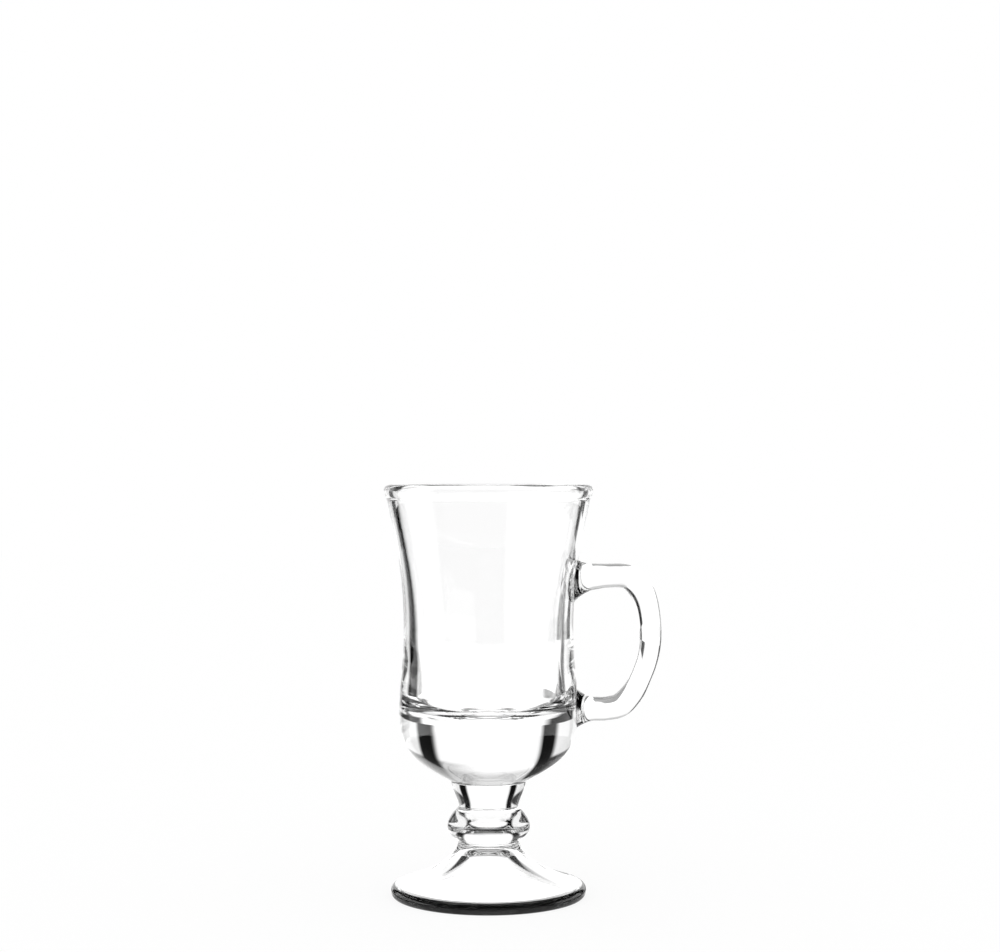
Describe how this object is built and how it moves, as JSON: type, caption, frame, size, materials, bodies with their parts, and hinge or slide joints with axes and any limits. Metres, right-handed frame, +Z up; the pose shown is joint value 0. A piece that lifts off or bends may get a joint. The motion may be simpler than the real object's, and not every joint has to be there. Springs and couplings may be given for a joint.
{
  "type": "irish coffee mug",
  "caption": "Footed drinking mug of clear pressed glass for hot coffee, with a flared bowl, a beaded rim, a ringed stem, a domed foot and a side handle.",
  "frame": {"origin": "on the mug's axis, in the plane that the foot stands on", "axes": "+Z up along the mug's axis, +X towards the handle, +Y across it"},
  "size_m": [0.0995, 0.075, 0.147],
  "materials": {
    "clear_glass": "fire-polished, clear, smooth"
  },
  "bodies": {
    "root": {"bowl": "clear_glass", "stem_neck": "clear_glass", "knop": "clear_glass", "foot": "clear_glass", "handle": "clear_glass"}
  },
  "joints": []
}
